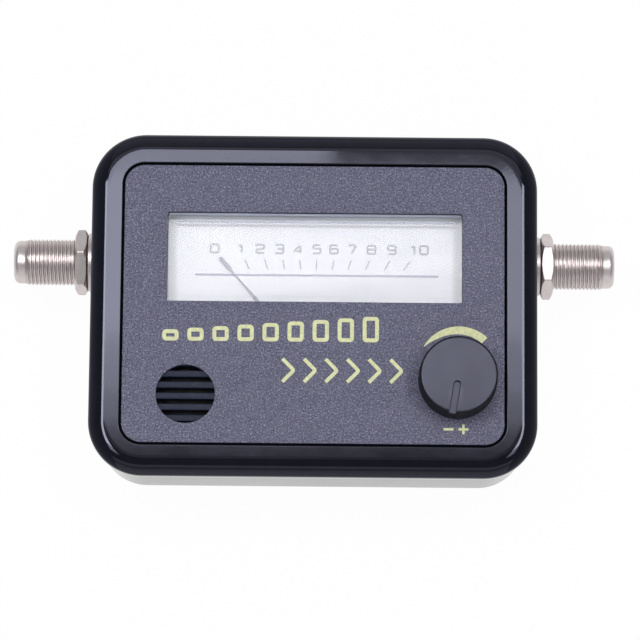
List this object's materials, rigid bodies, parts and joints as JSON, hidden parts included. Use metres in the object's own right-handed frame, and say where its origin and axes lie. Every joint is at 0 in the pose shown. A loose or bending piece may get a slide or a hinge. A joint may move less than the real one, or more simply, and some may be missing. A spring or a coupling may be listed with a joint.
{
  "type": "satellite signal meter",
  "caption": "Small case with a needle meter window, round sound grille and gain knob on its face, and a threaded coaxial socket on each end.",
  "frame": {"origin": "middle of the back face that the meter lies on, below the middle of its whole outline", "axes": "+X along the case towards the right-hand socket, +Y up the face, +Z out of the face"},
  "size_m": [0.1236, 0.07, 0.0376],
  "materials": {
    "black_shell": "moulded, smooth and glossy",
    "face_plate": "fine sparkle texture",
    "rear_case": "moulded, smooth",
    "knob": "moulded, satin",
    "clear_cover": "clear, polished",
    "dial": "printed white card",
    "needle": "painted grey",
    "white_plastic": "moulded",
    "board": "green solder mask",
    "capacitor": "sleeved can",
    "chip": "moulded epoxy",
    "ferrite": "sintered",
    "iron": "plated",
    "wafer": "phenolic board",
    "nickel": "nickel plated",
    "steel": "zinc plated",
    "brass": "bright",
    "copper": "enamelled wire",
    "insulator": "moulded"
  },
  "bodies": {
    "case": {"front_shell": "black_shell", "face_plate": "face_plate", "rear_case": "rear_case", "case_screw_1": "steel", "case_screw_2": "steel", "case_screw_3": "steel", "case_screw_4": "steel", "circuit_board": "board", "board_screw_right": "steel", "board_screw_left": "steel", "op_amp_chip": "chip", "supply_capacitor": "capacitor", "feed_choke": "ferrite", "rf_transistor_right": "chip", "rf_transistor_left": "chip", "detector_diode": "chip", "sounder_case": "chip", "sounder_disc": "brass", "sounder_lead_right": "copper", "sounder_lead_left": "copper", "meter_base": "white_plastic", "meter_pin_right": "brass", "meter_pin_left": "brass", "meter_lens": "clear_cover", "dial_plate": "dial", "magnet_yoke": "iron", "magnet_core": "ferrite", "core_holder": "brass", "upper_bridge": "brass", "upper_bearing": "ferrite", "upper_hairspring": "brass", "lower_bridge": "brass", "lower_bearing": "ferrite", "lower_hairspring": "brass", "pot_case": "nickel", "pot_wafer": "wafer", "pot_washer": "steel", "pot_nut": "nickel", "right_socket_barrel": "nickel", "right_socket_insulator": "insulator", "right_socket_contact": "brass", "right_flat_washer": "nickel", "right_lock_washer": "nickel", "right_socket_nut": "nickel", "right_signal_lead": "copper", "left_socket_barrel": "nickel", "left_socket_insulator": "insulator", "left_socket_contact": "brass", "left_flat_washer": "nickel", "left_lock_washer": "nickel", "left_socket_nut": "nickel", "left_signal_lead": "copper"},
    "needle_coil": {"needle": "needle", "coil_winding": "copper", "coil_former": "steel", "upper_staff": "steel", "lower_staff": "steel"},
    "gain_control": {"gain_knob": "knob", "gain_shaft": "nickel", "pot_wiper": "brass"}
  },
  "joints": [
    {"name": "gain_knob_turn", "type": "hinge", "parent": "case", "child": "gain_control", "pos_m": [0.02905, -0.0153, 0.0304], "axis": [0, 0, -1], "range_deg": [0, 300]},
    {"name": "needle_swing", "type": "hinge", "parent": "case", "child": "needle_coil", "pos_m": [0.00015, -0.0119, 0.0186], "axis": [0, 0, -1], "range_deg": [0, 84], "stiffness_Nm_per_rad": 0.00002}
  ]
}
